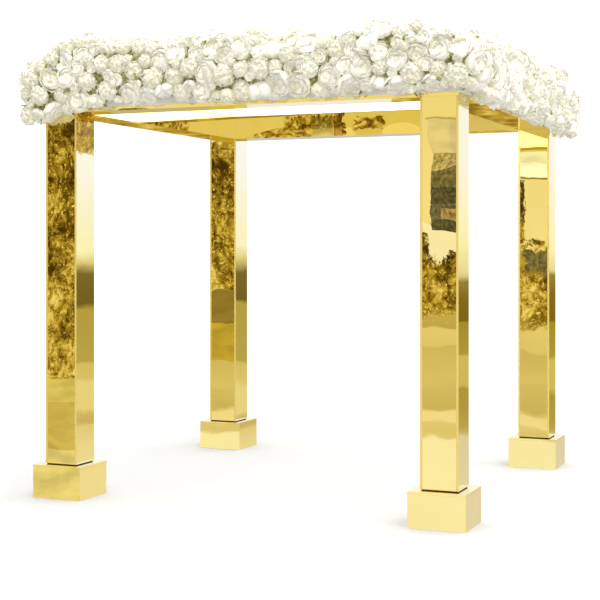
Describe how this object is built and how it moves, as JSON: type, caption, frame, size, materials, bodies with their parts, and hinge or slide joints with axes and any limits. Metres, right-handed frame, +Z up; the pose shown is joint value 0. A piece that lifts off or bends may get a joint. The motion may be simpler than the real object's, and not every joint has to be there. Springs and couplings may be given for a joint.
{
  "type": "chuppah canopy",
  "caption": "Square wedding canopy: gold mirror posts on plinth bases, mirror beams, stretched white ceiling cloth and a ring of white flowers.",
  "frame": {"origin": "centre of the plan at ground level, midway between the four bases", "axes": "+Z up, -Y towards the front, +X to the viewer's right along the front"},
  "size_m": [2.7412, 2.7412, 2.638],
  "materials": {
    "base_gold": "gold tinted mirror sheet on the plinth boxes",
    "post_gold": "gold tinted mirror sheet on the posts, slightly wavy",
    "beam_gold": "gold tinted mirror sheet on the beams, slightly wavy",
    "foot_dark": "dark matt plate in the shadow line under each post",
    "board_white": "plain white painted board behind the hanging flowers",
    "cloth_white": "matt white cloth, stretched flat",
    "flowers": "white roses and hydrangea heads with pale green hearts and small leaves"
  },
  "bodies": {
    "root": {"base_box_front_left": "base_gold", "base_top_front_left": "base_gold", "post_foot_front_left": "foot_dark", "post_front_left_panel_left": "post_gold", "post_front_left_panel_right": "post_gold", "post_front_left_panel_front": "post_gold", "post_front_left_panel_back": "post_gold", "base_box_front_right": "base_gold", "base_top_front_right": "base_gold", "post_foot_front_right": "foot_dark", "post_front_right_panel_left": "post_gold", "post_front_right_panel_right": "post_gold", "post_front_right_panel_front": "post_gold", "post_front_right_panel_back": "post_gold", "base_box_back_left": "base_gold", "base_top_back_left": "base_gold", "post_foot_back_left": "foot_dark", "post_back_left_panel_left": "post_gold", "post_back_left_panel_right": "post_gold", "post_back_left_panel_front": "post_gold", "post_back_left_panel_back": "post_gold", "base_box_back_right": "base_gold", "base_top_back_right": "base_gold", "post_foot_back_right": "foot_dark", "post_back_right_panel_left": "post_gold", "post_back_right_panel_right": "post_gold", "post_back_right_panel_front": "post_gold", "post_back_right_panel_back": "post_gold", "beam_front": "beam_gold", "flower_board_front": "board_white", "garland_front": "flowers", "beam_back": "beam_gold", "flower_board_back": "board_white", "garland_back": "flowers", "beam_left": "beam_gold", "flower_board_left": "board_white", "garland_left": "flowers", "beam_right": "beam_gold", "flower_board_right": "board_white", "garland_right": "flowers", "ceiling_cloth": "cloth_white"}
  },
  "joints": []
}
